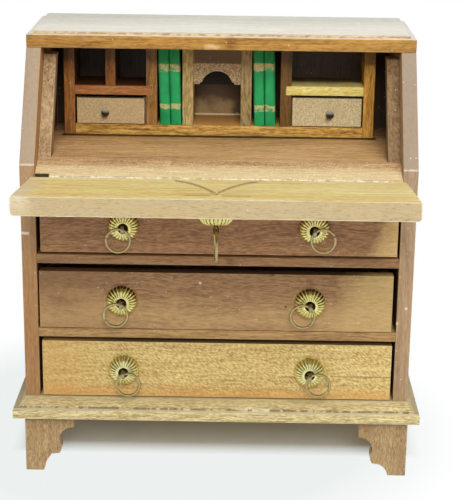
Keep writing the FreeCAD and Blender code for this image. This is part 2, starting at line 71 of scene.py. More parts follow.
def addNode(tree, kind, inputs=None, **settings):
    node = tree.nodes.new("ShaderNode" + kind)
    for name, value in settings.items():
        setattr(node, name, value)
    for name, value in (inputs or {}).items():
        feed(tree, node.inputs[name], value)
    return node


def calc(tree, operation, first, second=0.0):
    node = addNode(tree, "Math", operation=operation)
    feed(tree, node.inputs[0], first)
    feed(tree, node.inputs[1], second)
    return node.outputs[0]


def vecCalc(tree, operation, first, second):
    node = addNode(tree, "VectorMath", operation=operation)
    feed(tree, node.inputs[0], first)
    feed(tree, node.inputs[1], second)
    return node.outputs["Value" if operation == "DOT_PRODUCT" else "Vector"]


def spread(tree, value, low, high, toLow=0.0, toHigh=1.0):  # clamped map range
    inputs = {"Value": value, "From Min": low, "From Max": high, "To Min": toLow, "To Max": toHigh}
    return addNode(tree, "MapRange", inputs, clamp=True).outputs["Result"]


def mixColour(tree, factor, first, second, blend="MIX"):
    node = addNode(tree, "Mix", data_type="RGBA", blend_type=blend)
    feed(tree, node.inputs[0], factor)
    feed(tree, node.inputs[6], first)
    feed(tree, node.inputs[7], second)
    return node.outputs[2]


def noise(tree, vector, scale, detail=3.0, rough=0.55):
    inputs = {"Vector": vector, "Scale": scale, "Detail": detail, "Roughness": rough}
    return addNode(tree, "TexNoise", inputs).outputs["Fac"]


def longNoise(tree, vector, stretch):  # drawn out by its own scale along each axis
    return noise(tree, vecCalc(tree, "MULTIPLY", vector, stretch), 1.0, 2.0)


def heightOf(tree, place):
    return addNode(tree, "SeparateXYZ", {"Vector": place}).outputs["Z"]


def turned(tree, vector, angles):
    return addNode(tree, "Mapping", {"Vector": vector, "Rotation": angles}).outputs["Vector"]


def blendIn(tree, first, second, part):  # second takes its part of first's place
    return calc(tree, "ADD", calc(tree, "MULTIPLY", first, 1 - part), calc(tree, "MULTIPLY", second, part))


def newMaterial(name):
    material = bpy.data.materials.new(name)
    material.use_nodes = True
    return material, material.node_tree, material.node_tree.nodes["Principled BSDF"]


def addBump(tree, shader, height, strength, relief):
    bump = addNode(tree, "Bump", {"Height": height, "Strength": strength, "Distance": relief})
    feed(tree, shader.inputs["Normal"], bump.outputs["Normal"])


def newGroup(name, inputs, outputs):
    tree = bpy.data.node_groups.new(name, "ShaderNodeTree")
    for socketName, kind in inputs.items():
        tree.interface.new_socket(name=socketName, in_out="INPUT", socket_type="NodeSocket" + kind)
    for socketName in outputs:
        tree.interface.new_socket(name=socketName, in_out="OUTPUT", socket_type="NodeSocketFloat")
    return tree, tree.nodes.new("NodeGroupInput").outputs, tree.nodes.new("NodeGroupOutput").inputs


def useGroup(tree, group, inputs):
    node = tree.nodes.new("ShaderNodeGroup")
    node.node_tree = group
    for name, value in inputs.items():
        feed(tree, node.inputs[name], value)
    return node.outputs


# effects that several materials share; a noise is given by its scale, detail and roughness

grainLayers = {  # per metre along and across the grain, detail, and the noise range that is used
    "Streak": (60, 1900, 4, 0.32, 0.68),
    "Figure": (14, 150, 3, 0.32, 0.68),
    "Fleck": (640, 3900, 2, 0.36, 0.64),
    "Fibre": (300, 7000, 3, 0.25, 0.75),
}
grainDrift = {"scale": 55.0, "detail": 2.0, "sway": 3.5 * mm}
wearAndSheenLook = {"samples": 4, "patchy": (260.0, 4.0, 0.7), "blotch": (0.3, 0.54), "turn": (0.01, 0.16)}
speckLook = {"scale": 900.0, "size": 0.12, "rare": 0.82}


def makeGrainGroup(drift):
    tree, given, out = newGroup("boardGrain", {"Vector": "Vector", "Coarse": "Float"}, grainLayers)
    inputs = {"Vector": given["Vector"], "Scale": drift["scale"], "Detail": drift["detail"]}
    wander = vecCalc(tree, "SUBTRACT", addNode(tree, "TexNoise", inputs).outputs["Color"], (0.5, 0.5, 0.5))
    bend = vecCalc(tree, "MULTIPLY", wander, (0, drift["sway"], drift["sway"]))
    line = vecCalc(tree, "ADD", given["Vector"], bend)  # grain lines drift a little
    for layer, (along, across, detail, low, high) in grainLayers.items():
        stretched = vecCalc(tree, "MULTIPLY", line, (along, across, across))
        feed(tree, out[layer], spread(tree, noise(tree, stretched, given["Coarse"], detail), low, high))
    return tree


# pale rubbed arrises: real edge wear, made strong enough to be a painted highlight along the edges as well
def makeWearAndSheenGroup(look):
    inputs = {"Vector": "Vector", "Width": "Float", "Amount": "Float"}
    tree, given, out = newGroup("edgeWearAndSheen", inputs, ["Mask"])
    rounded = addNode(tree, "Bevel", {"Radius": given["Width"]}, samples=look["samples"]).outputs["Normal"]
    facing = addNode(tree, "NewGeometry").outputs["Normal"]
    turn = calc(tree, "SUBTRACT", 1.0, vecCalc(tree, "DOT_PRODUCT", rounded, facing))
    blotch = noise(tree, given["Vector"], *look["patchy"])
    worn = calc(tree, "MULTIPLY", spread(tree, turn, *look["turn"]), spread(tree, blotch, *look["blotch"]))
    feed(tree, out["Mask"], calc(tree, "MULTIPLY", worn, given["Amount"]))
    return tree


def makeSpeckGroup(look):
    tree, given, out = newGroup("paleSpecks", {"Vector": "Vector", "Amount": "Float"}, ["Mask"])
    cells = addNode(tree, "TexVoronoi", {"Vector": given["Vector"], "Scale": look["scale"]}).outputs
    near = calc(tree, "LESS_THAN", cells["Distance"], look["size"])
    lucky = addNode(tree, "SeparateColor", {"Color": cells["Color"]}).outputs["Red"]
    speck = calc(tree, "MULTIPLY", near, calc(tree, "GREATER_THAN", lucky, look["rare"]))
    feed(tree, out["Mask"], calc(tree, "MULTIPLY", speck, given["Amount"]))
    return tree


grainGroup = makeGrainGroup(grainDrift)
wearAndSheenGroup = makeWearAndSheenGroup(wearAndSheenLook)
speckGroup = makeSpeckGroup(speckLook)
print("shader groups made")


# wood

grainTurn = {"x": (0, 0, 0), "z": (0, math.pi / 2, 0)}

dust = (240, 232, 214)
# bore: painted shade inside a bore or hole
bore = (34, 22, 14)
# gapShade: painted shade in the gaps round the small fronts
gapShade = (34, 25, 18)
# caseShade: painted shade on the inner faces of the gables, inside the case
caseShade = (44, 29, 18)
crackBrown = (112, 66, 26)
legShadow = (104, 72, 34)
shadedTop = [((0, 0, 1), (48, 34, 23), 0.9)]  # painted shade on the tops of the drawer fronts, in the gaps: where a face looks, its paint and how much of it
# painted shade on the top and sides of the small fronts, in their gaps
shadedRim = [(side, gapShade, 0.9) for side in ((0, 0, 1), (1, 0, 0), (-1, 0, 0))]


def mark(paint, amount, soft, **limits):  # lengths in millimetres
    return {"paint": paint, "amount": amount, "soft": soft, **limits}


def about(middle, reach):
    return middle - reach, middle + reach


woodLooks = {
    "leftGableWood": {
        "grain": "z", "dark": (143, 98, 60), "light": (174, 133, 84), "wear": (214, 192, 159), "specks": 0.6,
        "faces": [((0, -0.83, 0.56), (164, 150, 130), 0.85)],
        "marks": [
            # the inner face painted dark as shade
            mark(caseShade, 0.9, 0.05, x=(-35.4, -34.0), y=(-5.2, 32.4), z=(10.0, 61.0)),
            mark(dust, 0.8, 0.15, x=(-38.6, -36.6), y=(-5.9, -4.8), z=(49.8, 50.3)),
            mark(dust, 0.5, 0.1, y=(-5.6, -4.9), z=(63.5, 63.8)),
        ]},
    "rightGableWood": {
        "grain": "z", "dark": (145, 114, 84), "light": (178, 149, 114), "wear": (219, 199, 169),
        "specks": 0.6, "faces": [((0, -0.83, 0.56), (153, 139, 123), 0.85)],
        "marks": [
            # the inner face painted dark as shade
            mark(caseShade, 0.9, 0.05, x=(34.0, 35.4), y=(-5.2, 32.4), z=(10.0, 61.0)),
            mark(dust, 0.8, 0.12, x=(36.7, 37.2), y=(-5.9, -4.8), z=(35.6, 36.0)),
            mark(dust, 0.9, 0.12, x=(35.1, 35.5), y=(-5.9, -4.8), z=(32.4, 32.9)),
            mark(dust, 0.5, 0.1, y=(-5.6, -4.9), z=(63.5, 63.8)),
        ]},
    # a darker copy of the lower divider's wood: painted shade under the fall
    "upperDividerWood": {
        "grain": "x", "dark": (113, 77, 46), "light": (164, 125, 83), "wear": (188, 152, 110)},
    "lowerDividerWood": {
        "grain": "x", "dark": (127, 91, 52), "light": (184, 147, 94), "wear": (201, 166, 120)},
    "leftStripWood": {"grain": "z", "dark": (123, 94, 64), "light": (184, 158, 120), "wear": (207, 182, 146)},
    "rightStripWood": {"grain": "z", "dark": (96, 71, 44), "light": (151, 123, 88), "wear": (184, 159, 125)},
    "topWood": {
        "grain": "x", "dark": (121, 78, 28), "light": (186, 141, 69), "wear": (211, 187, 140), "specks": 0.6,
        "faces": [((0, 0, 1), (248, 247, 235), 0.94)],
        "marks": [
            mark((96, 58, 26), 0.6, 0.5, x=(1.0, 2.6), y=(6.0, 10.0), z=(83.9, 86.4)),
            mark((232, 208, 160), 0.6, 0.4, x=(-3.0, -0.6), y=(6.0, 10.0), z=(84.0, 85.0)),
            mark((222, 206, 176), 0.75, 0.05, y=(8.9, 9.8), z=(86.35, 88.0)),
            mark((138, 98, 58), 0.65, 0.12, y=(8.9, 9.5), z=(86.45, 86.85),
                 broken=(700, 100, 2600), cut=0.46),
        ]},
    "backWood": {
        "grain": "z", "dark": (120, 88, 60), "light": (176, 140, 102), "wear": (190, 160, 126),
        # the inner face painted dark as shade
        "faces": [((0, -1, 0), (46, 36, 29), 1.0)],
        "marks": [
            # painted shade above the niche's low board and in the letter holes
            mark((16, 11, 9), 0.95, 0.1, x=(-6.0, 4.0), y=(30.0, 31.8), z=(72.6, 88.0), grain=0.05),
            mark((22, 16, 12), 0.9, 0.1, x=(-34.0, -12.0), y=(30.0, 31.8), z=(73.0, 88.0)),
            mark((74, 58, 44), 0.9, 0.1, x=(-6.0, 4.0), y=(30.0, 31.8), z=(60.0, 72.6)),
            # a painted pool of light on the niche's low board
            mark((158, 134, 92), 0.8, 0.9, x=(-6.0, 2.2), y=(26.0, 32.0), z=(60.0, 69.4)),
            mark((226, 206, 160), 0.8, 0.06, x=(-6.0, 4.0), y=(30.0, 31.8), z=(66.05, 66.4)),
        ]},
    "writingWood": {
        "grain": "x", "dark": (146, 106, 64), "light": (210, 172, 120), "wear": (215, 183, 138),
        "specks": 0.6, "faces": [((0, -1.6, 0.4), (222, 204, 154), 0.7)],
        "marks": [
            mark(dust, 0.5, 0.5, y=(-5.6, 1.0), broken=(2600, 4000, 4000), cut=0.56),
            # painted shade in the gap at the left end of the fall, and a painted shadow line under the
            # pigeonhole base
            mark((10, 7, 5), 0.95, 0.1, x=(-36.0, -32.4), y=(-5.7, -5.2), z=(58.0, 62.6), grain=0.02),
            mark((30, 19, 11), 0.95, 0.15, x=(-33.0, 32.0), y=(19.5, 21.5), grain=0.1),
        ]},
    "plinthWood": {
        "grain": "x", "dark": (158, 136, 86), "light": (227, 211, 158), "wear": (230, 222, 188), "bump": 0.3,
        "blend": (0.45, 0.1, 0.45), "coarse": 1.5, "faces": [((0, 0, 1), (182, 166, 128), 0.97)],
        "marks": [
            mark((238, 230, 204), 0.6, 0.06, y=(-8.5, -7.55), z=(14.3, 14.5)),
            # a painted highlight on the edge of the step
            mark((246, 240, 222), 0.4, 0.35, x=(5.4, 12.4), y=(-8.2, -6.9), z=(14.0, 14.9),
                 broken=(500, 2400, 2400), cut=0.42),
            # dark dashes along the riser: painted shade of the step
            mark((84, 70, 44), 0.9, 0.1, y=(-7.5, -7.3), z=(14.2, 14.8), broken=(700, 100, 100), cut=0.42),
        ]},
    "footWood": {
        "grain": "z", "dark": (139, 109, 72), "light": (187, 158, 114), "wear": (194, 169, 132),
        "blend": (0.3, 0.2, 0.5), "coarse": 1.7, "bump": 0.5,
        "marks": [
            # painted shadow under the plinth
            mark((84, 58, 36), 0.55, 0.5, z=(11.4, 14.0)),
        ]},
    "fallWood": {
        "grain": "x", "dark": (216, 172, 88), "light": (255, 245, 178), "wear": (249, 238, 209),
        # the front edge greyed; the underside painted darker, as shade
        "faces": [((0, -0.99, 0.12), (165, 147, 117), 0.95), ((0, -0.12, -0.99), (146, 112, 66), 0.75)],
        "marks": [
            mark(legShadow, 0.8, 0.2, x=(-5.6, -0.9), y=(-28.3, -27.6), z=(63.4, 65.2)),
            mark(legShadow, 0.8, 0.2, x=(0.9, 6.0), y=(-28.5, -27.8), z=(63.4, 65.2)),
            mark((238, 226, 184), 0.9, 0.25, x=(-0.9, 0.9), y=(-28.0, -26.6), z=(63.2, 65.4)),
            mark((218, 206, 184), 0.6, 1.5, x=(-40.0, -33.0), z=(61.9, 66.0)),
            mark((118, 96, 64), 0.4, 0.2, y=(-35.0, -32.2), broken=(800, 5600, 5600), cut=0.54),
        ]},
    "upperFrontWood": {
        "grain": "x", "dark": (135, 94, 64), "light": (184, 138, 92), "wear": (198, 158, 116),
        "blend": (0.35, 0.15, 0.5), "bump": 0.3, "faces": shadedTop,
        "marks": [
            mark((222, 190, 126), 0.75, 0.9, x=(29.5, 60.0), lean=-0.36, level=46.1),
        ]},
    "middleFrontWood": {
        "grain": "x", "dark": (117, 84, 54), "light": (157, 121, 80), "wear": (186, 151, 110),
        "blend": (0.35, 0.15, 0.5), "bump": 0.3, "faces": shadedTop,
        "marks": [
            mark((190, 164, 105), 0.7, 2.6, x=(24.9, 60.0), lean=-0.55, level=37.4),
            mark((124, 88, 56), 0.6, 6.0, x=(-40.0, -22.0)),
            mark((196, 160, 108), 0.55, 2.5, z=(30.0, 36.0)),
            mark(bore, 0.95, 0.1, x=(10.2, 11.0), z=(42.1, 42.5)),
            mark(bore, 0.95, 0.1, x=(13.2, 13.6), z=(35.6, 36.0)),
            mark(dust, 0.8, 0.1, x=(-3.6, -3.2), z=(40.2, 40.6)),
        ]},
    "honeyWood": {
        "grain": "x", "dark": (157, 120, 60), "light": (224, 203, 136), "wear": (225, 201, 151),
        "ripple": 0.45, "bump": 0.3, "faces": shadedTop,
        "marks": [
            mark((196, 152, 86), 0.5, 6.0, x=(-40.0, -24.0)),
            mark((206, 150, 78), 0.6, 1.0, z=(10.0, 18.2)),
            mark(crackBrown, 0.85, 0.07, x=(12.8, 17.6), z=(20.98, 21.12)),
            mark(crackBrown, 0.85, 0.07, x=(22.6, 34.6), z=(21.18, 21.32)),
        ]},
    "liningWood": {"grain": "x", "dark": (160, 126, 86), "light": (212, 182, 140), "wear": (218, 194, 156)},
    "redWood": {
        "grain": "z", "dark": (99, 58, 25), "light": (167, 112, 58), "wear": (195, 146, 96),
        # the right side faces painted dark as shade, in the gaps
        "faces": [((1, 0, 0), (52, 31, 18), 0.85)]},
    "leftInnerWood": {"grain": "z", "dark": (103, 67, 31), "light": (175, 129, 73), "wear": (198, 156, 106)},
    "leftGreyWood": {
        "grain": "z", "dark": (150, 124, 76), "light": (214, 190, 130), "wear": (214, 194, 152),
        "blend": (0.4, 0.1, 0.5)},
    "rightGreyWood": {
        "grain": "z", "dark": (124, 101, 62), "light": (178, 156, 108), "wear": (202, 180, 138),
        "blend": (0.4, 0.1, 0.5)},
    "valanceWood": {
        "grain": "x", "dark": (130, 107, 78), "light": (198, 175, 138), "wear": (216, 196, 162),
        "leather": 0.75, "bump": 0.6,
        "marks": [
            # painted shadow of the top board on the upper part
            mark((88, 64, 47), 0.9, 0.1, z=(78.9, 90.0)),
        ]},
    "baseWood": {
        "grain": "x", "dark": (121, 74, 23), "light": (239, 193, 102), "wear": (229, 195, 132),
        "marks": [
            mark((216, 156, 92), 0.75, 0.2, x=(-6.0, 4.0), y=(21.4, 32.0), z=(65.6, 66.2)),
        ]},
    "endWood": {"grain": "z", "dark": (125, 80, 28), "light": (227, 173, 81), "wear": (226, 185, 114)},
    "yellowWood": {
        "grain": "x", "dark": (230, 200, 90), "light": (255, 252, 176), "wear": (253, 251, 205),
        "blend": (0.3, 0.2, 0.5), "bump": 0.6},
    "smallFrontWood": {
        "grain": "x", "dark": (182, 155, 114), "light": (207, 182, 138), "wear": (215, 195, 158),
        "leather": 0.8, "bump": 0.8, "faces": shadedRim},
    "paleFrontWood": {
        "grain": "x", "dark": (197, 178, 136), "light": (230, 213, 169), "wear": (228, 215, 180),
        "leather": 0.85, "bump": 1.0, "faces": shadedRim},
    "redShelfWood": {
        "grain": "x", "dark": (103, 60, 32), "light": (188, 128, 74), "wear": (199, 148, 95),
        # the top painted dark as shade
        "faces": [((0, 0, 1), (44, 27, 16), 0.9)]},
    "innerWood": {"grain": "z", "dark": (88, 60, 28), "light": (136, 100, 54), "wear": (178, 144, 95)},
}
markReach = {"glue": 4.2, "bore": 1.0, "knobShadowX": (-0.9, 0.3), "knobShadowZ": (-1.7, -0.8),
             "underTop": (79.0, 90.0), "shelfY": (-1, 0.9), "shelfZ": (-0.1, 1), "shadeFrom": 5.0}
for drawer, woodName in zip(drawerNames, ("upperFrontWood", "middleFrontWood", "honeyWood")):
    for side in sideNames:  # glue specks round each cap, and painted shade in its bore
        x, _, z = (value / mm for value in jointOf[drawer + "_" + side + "_ring_swing"]["pos_m"])
        glue, hole = markReach["glue"], markReach["bore"]
        woodLooks[woodName]["marks"] += [
            mark(dust, 0.5, 0.6, x=about(x, glue), z=about(z, glue), broken=(2200, 2200, 2200), cut=0.62),
            mark(bore, 0.95, 0.05, x=about(x, hole), z=about(z, hole))]
for side, woodName in zip(sideNames, ("smallFrontWood", "paleFrontWood")):  # painted shadow under each knob
    low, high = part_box(side + "_small_drawer_knob")
    knob = (low + high) / 2 / mm
    stain = mark((112, 76, 58), 0.6, 0.25, x=[knob.x + edge for edge in markReach["knobShadowX"]],
                 z=[knob.z + edge for edge in markReach["knobShadowZ"]])
    woodLooks[woodName]["marks"] = [stain]
for woodName in ("redWood", "leftInnerWood", "innerWood", "endWood"):  # painted shadow under the top board
    woodLooks[woodName]["marks"] = [mark((56, 42, 34), 0.62, 0.45, z=markReach["underTop"])]
low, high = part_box("left_shelf")  # reddish along its top front arris: painted light at the front of the painted shade on the top
litShelfEdge = mark((178, 96, 58), 0.9, 0.4, y=[low.y / mm + edge for edge in markReach["shelfY"]],
               z=[high.z / mm + edge for edge in markReach["shelfZ"]])
woodLooks["redShelfWood"]["marks"] = [litShelfEdge]
low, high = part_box("right_shelf")  # painted shade, darker towards the back
deep = [corner.y / mm + markReach["shadeFrom"] for corner in (low, high)]
woodLooks["yellowWood"]["marks"] = [mark((26, 20, 14), 0.85, 1.6, y=deep, grain=0.1)]
woodDefaults = {"coarse": 1.0, "blend": (0.4, 0.3, 0.3), "rough": 0.55, "bump": 0.4, "wearAndSheenWidth": 0.28 * mm,
                "wearAndSheenAmount": 0.9, "specks": 0.35, "ripple": 0.0, "leather": 0.0, "faces": [], "marks": []}
markEdge = {"scale": 0.35, "detail": 3.0, "rough": 0.7, "range": (0.25, 0.75), "cutSoft": 0.08}


def markMask(tree, place, trace):  # a soft-edged spot, line or stretch
    axes = addNode(tree, "SeparateXYZ", {"Vector": place}).outputs
    soft = trace["soft"] * mm
    ragged = noise(tree, place, markEdge["scale"] / soft, markEdge["detail"], markEdge["rough"])
    waver = spread(tree, ragged, *markEdge["range"], -soft, soft)
    mask = trace["amount"]
    for axis in "xyz":
        if axis in trace:
            low, high = (limit * mm for limit in trace[axis])
            value = calc(tree, "ADD", axes[axis.upper()], waver)
            if axis == "x" and "lean" in trace:
                value = calc(tree, "ADD", value, calc(tree, "MULTIPLY", axes["Z"], trace["lean"]))
                shift = trace["lean"] * trace["level"] * mm
                low, high = low + shift, high + shift
            mask = calc(tree, "MULTIPLY", mask, spread(tree, value, low - soft, low + soft))
            mask = calc(tree, "MULTIPLY", mask, spread(tree, value, high - soft, high + soft, 1.0, 0.0))
    if "broken" in trace:  # broken up into dashes or specks
        scatter = longNoise(tree, place, trace["broken"])
        whole = trace["cut"] + markEdge["cutSoft"]
        mask = calc(tree, "MULTIPLY", mask, spread(tree, scatter, trace["cut"], whole))
    return mask


woodFinish = {"curlTilt": math.radians(-38), "curlScale": (1300, 1300, 3400), "curlRange": (0.34, 0.66),
              "leather": (4000.0, 2.0), "leatherRange": (0.36, 0.64), "toneRange": (0.2, 0.8),
              "faceRange": (0.8, 0.95), "faceThin": 0.75, "markGrain": 0.25, "roughSpan": (0.1, -0.08),
              "fibre": 0.5, "relief": 0.07 * mm}


def woodMaterial(name, look, finish):
    look = {**woodDefaults, **look}
    material, tree, shader = newMaterial(name)
    coords = addNode(tree, "TexCoord").outputs
    place = coords["Object"]
    along = turned(tree, place, grainTurn[look["grain"]])
    grain = useGroup(tree, grainGroup, {"Vector": along, "Coarse": look["coarse"]})
    tone = 0.0
    for layer, weight in zip(("Streak", "Figure", "Fleck"), look["blend"]):
        tone = calc(tree, "ADD", tone, calc(tree, "MULTIPLY", grain[layer], weight))
    if look["ripple"]:  # curly figure across the grain
        askew = turned(tree, place, (0, finish["curlTilt"], 0))
        curl = longNoise(tree, askew, finish["curlScale"])
        tone = blendIn(tree, tone, spread(tree, curl, *finish["curlRange"]), look["ripple"])
    if look["leather"]:  # speckled all ways, without a grain
        grained = noise(tree, place, *finish["leather"])
        tone = blendIn(tree, tone, spread(tree, grained, *finish["leatherRange"]), look["leather"])
    tone = spread(tree, tone, *finish["toneRange"])
    colour = mixColour(tree, tone, linear(*look["dark"]), linear(*look["light"]))
    for direction, paint, amount in look["faces"]:  # faces that have bleached or gathered dust, and faces painted dark as shade
        facing = vecCalc(tree, "DOT_PRODUCT", coords["Normal"], direction)
        cover = calc(tree, "MULTIPLY", spread(tree, facing, *finish["faceRange"]),
                     spread(tree, tone, 0.0, 1.0, amount * finish["faceThin"], amount))
        colour = mixColour(tree, cover, colour, linear(*paint))
    for trace in look["marks"]:
        darkest = spread(tree, tone, 0.0, 1.0, trace.get("grain", finish["markGrain"]), 0.0)
        tinted = mixColour(tree, darkest, linear(*trace["paint"]), linear(*look["dark"]))
        colour = mixColour(tree, markMask(tree, place, trace), colour, tinted)
    # pale arrises: edge wear and painted highlight
    edges = {"Vector": place, "Width": look["wearAndSheenWidth"], "Amount": look["wearAndSheenAmount"]}
    colour = mixColour(tree, useGroup(tree, wearAndSheenGroup, edges)["Mask"], colour, linear(*look["wear"]))
    specks = useGroup(tree, speckGroup, {"Vector": place, "Amount": look["specks"]})
    colour = mixColour(tree, specks["Mask"], colour, linear(*dust))
    feed(tree, shader.inputs["Base Color"], colour)
    dull, glossy = (look["rough"] + change for change in finish["roughSpan"])
    feed(tree, shader.inputs["Roughness"], spread(tree, tone, 0.0, 1.0, dull, glossy))
    height = calc(tree, "ADD", calc(tree, "MULTIPLY", grain["Fibre"], finish["fibre"]), tone)
    addBump(tree, shader, height, look["bump"], finish["relief"])
    return material


wood = {name: woodMaterial(name, look, woodFinish) for name, look in woodLooks.items()}
print("woods mixed,", len(wood))


# metal, linen and book cloth

metalLooks = {  # grime, painted shade on the faces that look one way: the way it faces, where it starts, where it is full, how much
    "upperBrass": {"bright": (250, 243, 168), "dull": (84, 70, 22), "rough": 0.26,
                   "grime": ((0, 0, 1), 0.5, 0.85, 0.8)},
    "middleBrass": {"bright": (250, 243, 160), "dull": (58, 46, 22), "rough": 0.26,
                    "grime": ((0, 0, 1), 0.45, 0.85, 0.95)},
    "lowerBrass": {"bright": (252, 246, 178), "dull": (110, 100, 56), "rough": 0.3,
                   "grime": ((0, 0, 1), 0.5, 0.9, 0.6)},
    "fallBrass": {"bright": (238, 226, 146), "dull": (58, 46, 12), "rough": 0.22, "hollow": (0.465, 0.5)},
    "ringBrass": {"bright": (194, 178, 128), "dull": (80, 64, 36), "rough": 0.3},
    "pinSteel": {"bright": (180, 172, 136), "dull": (98, 90, 64), "rough": 0.36},
    "legSteel": {"bright": (250, 232, 190), "dull": (190, 168, 126), "rough": 0.65,
                 "below": (61.0 * mm, (58, 46, 30))},
    "knobSteel": {"bright": (226, 220, 210), "dull": (58, 50, 42), "rough": 0.3, "metallic": 0.45,
                  "grime": ((0, -0.35, -0.94), -0.65, 0.35, 1.0)},
}
metalFinish = {"stain": (1400.0, 4.0, 0.6), "stainRange": (0.35, 0.7), "stainShare": 0.3,
               "hollow": (0.44, 0.48), "roughGain": 0.2, "scratch": (9000, 9000, 2500), "bump": 0.12,
               "relief": 0.02 * mm}


def metalMaterial(name, look, finish):
    material, tree, shader = newMaterial(name)
    coords = addNode(tree, "TexCoord").outputs
    place = coords["Object"]
    stain = spread(tree, noise(tree, place, *finish["stain"]), *finish["stainRange"])
    bend = addNode(tree, "NewGeometry").outputs["Pointiness"]
    hollow = spread(tree, bend, *look.get("hollow", finish["hollow"]), 1.0, 0.0)
    tarnishAndShade = calc(tree, "MAXIMUM", calc(tree, "MULTIPLY", stain, finish["stainShare"]), hollow)
    # painted shade: the dark upper side of a cap, the dark underside of a knob
    if "grime" in look:
        direction, low, high, amount = look["grime"]
        facing = vecCalc(tree, "DOT_PRODUCT", coords["Normal"], direction)
        tarnishAndShade = calc(tree, "MAXIMUM", tarnishAndShade, spread(tree, facing, low, high, 0.0, amount))
    colour = mixColour(tree, tarnishAndShade, linear(*look["bright"]), linear(*look["dull"]))
    if "below" in look:  # darker under a given height
        level, paint = look["below"]
        under = calc(tree, "LESS_THAN", heightOf(tree, place), level)
        colour = mixColour(tree, under, colour, linear(*paint))
    feed(tree, shader.inputs["Base Color"], colour)
    shader.inputs["Metallic"].default_value = look.get("metallic", 1.0)
    dull = look["rough"] + finish["roughGain"]
    feed(tree, shader.inputs["Roughness"], spread(tree, tarnishAndShade, 0.0, 1.0, look["rough"], dull))
    addBump(tree, shader, longNoise(tree, place, finish["scratch"]), finish["bump"], finish["relief"])
    return material


metal = {name: metalMaterial(name, look, metalFinish) for name, look in metalLooks.items()}

linenLook = {"light": (248, 242, 222), "dark": (166, 148, 110), "thread": 2400.0, "sway": 1.5,
             "glue": (700.0, 4.0, 0.7), "glueRange": (0.45, 0.62), "glued": 0.2, "rough": (0.9, 0.6),
             "bump": 0.5, "relief": 0.05 * mm}


def linenMaterial(look):
    material, tree, shader = newMaterial("linenTape")
    place = addNode(tree, "TexCoord").outputs["Object"]
    inputs = {"Vector": place, "Scale": look["thread"], "Distortion": look["sway"]}
    warp, weft = (addNode(tree, "TexWave", inputs, bands_direction=axis).outputs["Fac"] for axis in "XZ")
    weave = calc(tree, "MAXIMUM", warp, weft)
    glue = spread(tree, noise(tree, place, *look["glue"]), *look["glueRange"])
    shade = calc(tree, "MULTIPLY", weave, spread(tree, glue, 0.0, 1.0, 1.0, look["glued"]))
    colour = mixColour(tree, shade, linear(*look["dark"]), linear(*look["light"]))
    feed(tree, shader.inputs["Base Color"], colour)
    feed(tree, shader.inputs["Roughness"], spread(tree, glue, 0.0, 1.0, *look["rough"]))
    addBump(tree, shader, weave, look["bump"], look["relief"])
    return material


linen = linenMaterial(linenLook)

bookLook = {"cloth": (44, 182, 110), "shade": (30, 146, 86), "band": (214, 202, 146),
            "cloud": (260.0, 4.0), "cloudRange": (0.35, 0.7), "worn": (1100.0, 4.0, 0.7),
            "wornRange": (0.4, 0.56), "ragged": (700.0, 4.0), "raggedRange": (0.3, 0.7),
            "raggedReach": 0.25 * mm, "rough": (0.45, 0.62), "weave": (9000.0, 2.0), "bump": 0.25,
            "relief": 0.04 * mm,
            "bands": {"left": ((69.3 * mm, 70.4 * mm), (77.0 * mm, 78.6 * mm)),
                      "right": ((68.9 * mm, 70.3 * mm), (77.4 * mm, 79.0 * mm))}}


def bookMaterial(side, look):
    material, tree, shader = newMaterial(side + "BookCloth")
    place = addNode(tree, "TexCoord").outputs["Object"]
    uneven, reach = noise(tree, place, *look["ragged"]), look["raggedReach"]
    shift = spread(tree, uneven, *look["raggedRange"], -reach, reach)
    ragged = calc(tree, "ADD", heightOf(tree, place), shift)
    cloud = spread(tree, noise(tree, place, *look["cloud"]), *look["cloudRange"])
    colour = mixColour(tree, cloud, linear(*look["cloth"]), linear(*look["shade"]))
    worn = spread(tree, noise(tree, place, *look["worn"]), *look["wornRange"])
    for low, high in look["bands"][side]:
        above, below = calc(tree, "GREATER_THAN", ragged, low), calc(tree, "LESS_THAN", ragged, high)
        inside = calc(tree, "MULTIPLY", above, below)
        colour = mixColour(tree, calc(tree, "MULTIPLY", inside, worn), colour, linear(*look["band"]))
    feed(tree, shader.inputs["Base Color"], colour)
    feed(tree, shader.inputs["Roughness"], spread(tree, worn, 0.0, 1.0, *look["rough"]))
    addBump(tree, shader, noise(tree, place, *look["weave"]), look["bump"], look["relief"])
    return material


bookCloth = {side: bookMaterial(side, bookLook) for side in sideNames}
print("metals, linen and book cloth mixed")


# working by hand: pick, copy, settle

shellWeld = 0.001 * mm
smoothUpTo = math.radians(30)


def camel(node):
    first, *others = node.split("_")
    return first + "".join(word.capitalize() for word in others)


def mode(name):
    bpy.ops.object.mode_set(mode=name)


def selectBy(kind):
    kinds = ("VERT", "EDGE", "FACE")
    bpy.context.scene.tool_settings.mesh_select_mode = tuple(kind == other for other in kinds)


def solo(piece):
    bpy.ops.object.select_all(action="DESELECT")
    piece.select_set(True)
    bpy.context.view_layer.objects.active = piece


def pick(piece, test):  # edit mode, with the vertices that pass the test selected
    mode("OBJECT")
    selectBy("VERT")
    for part in (piece.data.vertices, piece.data.edges, piece.data.polygons):
        part.foreach_set("select", [False] * len(part))
    for vertex in piece.data.vertices:
        vertex.select = test(vertex.co)
    mode("EDIT")


def newPiece(name):  # names the primitive just added and opens it, all selected
    piece = bpy.context.object
    piece.name = name
    selectBy("VERT")
    mode("EDIT")
    bpy.ops.mesh.select_all(action="SELECT")
    return piece


def pull(x, y, z):  # extrudes what is selected
    bpy.ops.mesh.extrude_region_move(TRANSFORM_OT_translate={"value": (x, y, z)})


def closeShell():  # caps what is open and turns every face outwards
    bpy.ops.mesh.select_all(action="SELECT")
    bpy.ops.mesh.remove_doubles(threshold=shellWeld)
    bpy.ops.mesh.fill_holes(sides=0)
    bpy.ops.mesh.normals_make_consistent(inside=False)
    mode("OBJECT")


